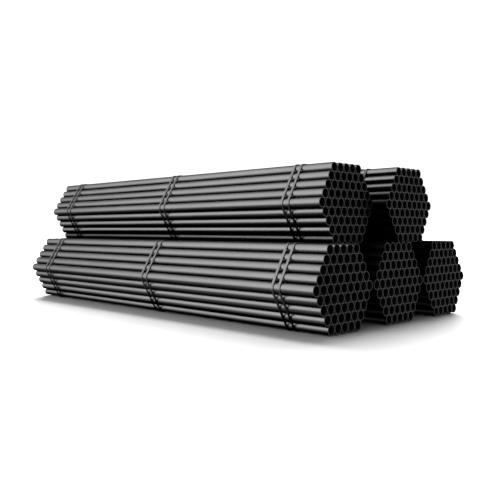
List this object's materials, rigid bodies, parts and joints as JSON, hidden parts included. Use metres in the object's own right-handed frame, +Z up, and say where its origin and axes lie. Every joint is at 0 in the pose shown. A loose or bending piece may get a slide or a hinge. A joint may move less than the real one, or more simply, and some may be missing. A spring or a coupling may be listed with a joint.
{
  "type": "stack of strapped steel tube bundles",
  "caption": "Stack of hexagonal bundles of plain round steel tubes, held by flat steel straps, the upper bundles lying in the valleys between the lower ones.",
  "frame": {"origin": "middle of the stack's footprint, at the level of the straps' undersides", "axes": "+X along the tubes towards the ends where the lower bundles stand out furthest, -Y towards the front long side, +Z up"},
  "size_m": [3.17, 1.6698, 0.9622],
  "materials": {
    "tube_steel": "satin",
    "strap_steel": "satin"
  },
  "bodies": {
    "root": {"tubes_low_front": "tube_steel", "tubes_low_mid": "tube_steel", "tubes_low_back": "tube_steel", "tubes_top_front": "tube_steel", "tubes_top_back": "tube_steel", "straps_low_front": "strap_steel", "straps_low_mid": "strap_steel", "straps_low_back": "strap_steel", "straps_top_front": "strap_steel", "straps_top_back": "strap_steel"}
  },
  "joints": []
}
